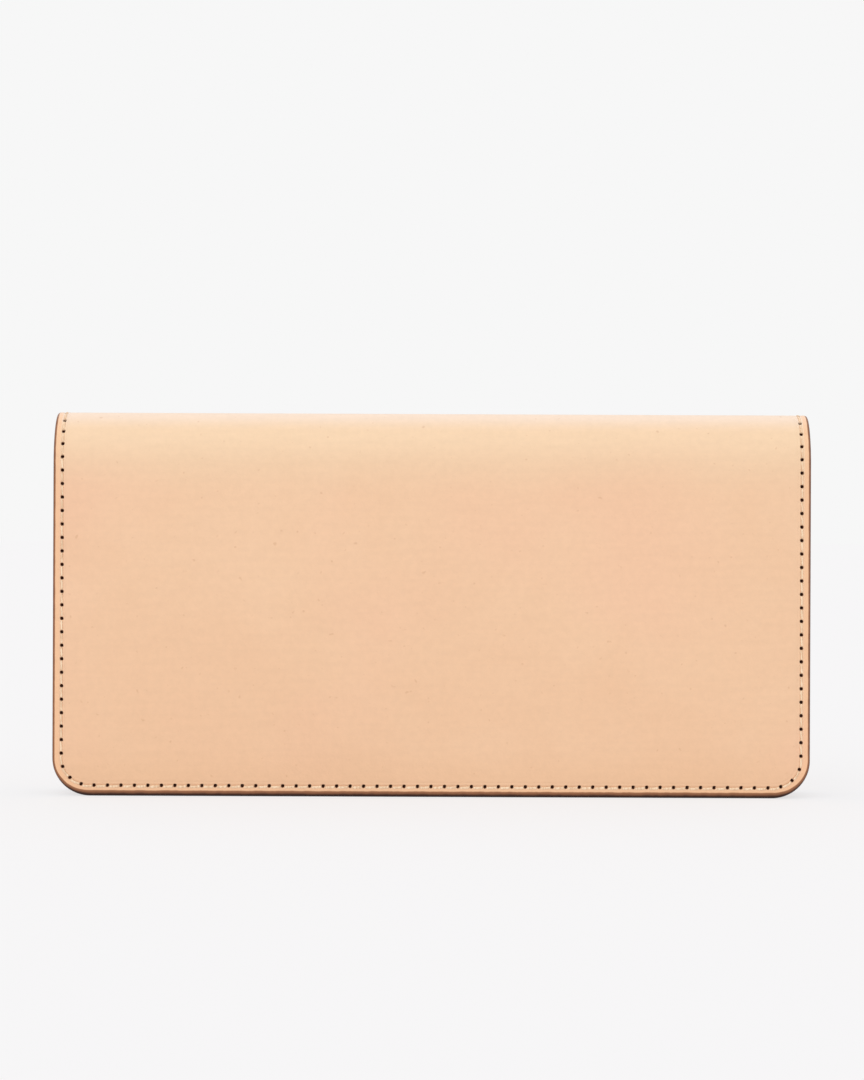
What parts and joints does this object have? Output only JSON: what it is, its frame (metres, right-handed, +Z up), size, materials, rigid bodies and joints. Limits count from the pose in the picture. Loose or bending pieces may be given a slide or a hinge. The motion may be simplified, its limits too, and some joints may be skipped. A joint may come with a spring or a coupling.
{
  "type": "long wallet",
  "caption": "Long bifold wallet in natural leather: stitched covers on a rounded fold, card pockets, note pocket and zipped coin pocket inside.",
  "frame": {"origin": "on the ground under the middle of the closed wallet, which stands on its open edges with the fold on top", "axes": "+X along the fold, to the right as seen from the front; +Y from the front cover to the back cover; +Z up to the fold"},
  "size_m": [0.19, 0.0164, 0.0965],
  "materials": {
    "natural_leather": "smooth vegetable-tanned grain, satin, undyed",
    "lining_leather": "thin smooth leather, matt",
    "pocket_leather": "thin smooth natural leather, satin",
    "cotton_lining": "plain cotton twill",
    "zip_tape": "woven tape",
    "brass": "polished",
    "thread": "waxed cream thread"
  },
  "bodies": {
    "back_half": {"cover_back": "natural_leather", "lining_back": "lining_leather", "edge_thread_back": "thread", "bill_pocket": "pocket_leather", "card_edge_thread": "thread", "card_divider_thread_left": "thread", "card_divider_thread_right": "thread", "card_pocket_left_1": "pocket_leather", "card_pocket_left_2": "pocket_leather", "card_pocket_left_3": "pocket_leather", "card_pocket_left_4": "pocket_leather", "card_pocket_right_1": "pocket_leather", "card_pocket_right_2": "pocket_leather", "card_pocket_right_3": "pocket_leather", "card_pocket_right_4": "pocket_leather"},
    "spine_1": {"spine_leather_1": "natural_leather", "spine_lining_1": "lining_leather"},
    "spine_2": {"spine_leather_2": "natural_leather", "spine_lining_2": "lining_leather"},
    "spine_3": {"spine_leather_3": "natural_leather", "spine_lining_3": "lining_leather"},
    "spine_4": {"spine_leather_4": "natural_leather", "spine_lining_4": "lining_leather"},
    "spine_5": {"spine_leather_5": "natural_leather", "spine_lining_5": "lining_leather"},
    "front_half": {"cover_front": "natural_leather", "lining_front": "lining_leather", "edge_thread_front": "thread", "coin_pocket_back": "cotton_lining", "coin_pocket_frame": "pocket_leather", "coin_pocket_panel": "pocket_leather", "zip_window_thread": "thread", "slip_pocket": "pocket_leather", "coin_edge_thread": "thread", "zip_tape_upper": "zip_tape", "zip_tape_lower": "zip_tape", "zip_teeth_upper": "brass", "zip_teeth_lower": "brass", "zip_stop_left": "brass", "zip_stop_right": "brass"},
    "zip_slider": {"zip_slider": "brass"},
    "zip_pull": {"zip_pull": "brass"}
  },
  "joints": [
    {"name": "spine_fold_1", "type": "hinge", "parent": "back_half", "child": "spine_1", "pos_m": [0, 0.00734, 0.08869], "axis": [-1, 0, 0], "range_deg": [0, 30]},
    {"name": "spine_fold_2", "type": "hinge", "parent": "spine_1", "child": "spine_2", "pos_m": [0, 0.00419, 0.09457], "axis": [-1, 0, 0], "range_deg": [0, 30]},
    {"name": "spine_fold_3", "type": "hinge", "parent": "spine_2", "child": "spine_3", "pos_m": [0, 0.0013, 0.09633], "axis": [-1, 0, 0], "range_deg": [0, 30]},
    {"name": "spine_fold_4", "type": "hinge", "parent": "spine_3", "child": "spine_4", "pos_m": [0, -0.0013, 0.09633], "axis": [-1, 0, 0], "range_deg": [0, 30]},
    {"name": "spine_fold_5", "type": "hinge", "parent": "spine_4", "child": "spine_5", "pos_m": [0, -0.00419, 0.09457], "axis": [-1, 0, 0], "range_deg": [0, 30]},
    {"name": "cover_open", "type": "hinge", "parent": "spine_5", "child": "front_half", "pos_m": [0, -0.00734, 0.08869], "axis": [-1, 0, 0], "range_deg": [0, 30]},
    {"name": "zip_slide", "type": "slide", "parent": "front_half", "child": "zip_slider", "axis": [-1, 0, 0], "range_m": [0, 0.138]},
    {"name": "zip_pull_swing", "type": "hinge", "parent": "zip_slider", "child": "zip_pull", "pos_m": [0.0668, -0.0009, 0.066], "axis": [0, 1, 0], "range_deg": [-40, 40]}
  ],
  "couplings": [
    {"joint": "spine_fold_1", "follows": "cover_open", "ratio": 1},
    {"joint": "spine_fold_2", "follows": "cover_open", "ratio": 1},
    {"joint": "spine_fold_3", "follows": "cover_open", "ratio": 1},
    {"joint": "spine_fold_4", "follows": "cover_open", "ratio": 1},
    {"joint": "spine_fold_5", "follows": "cover_open", "ratio": 1}
  ]
}
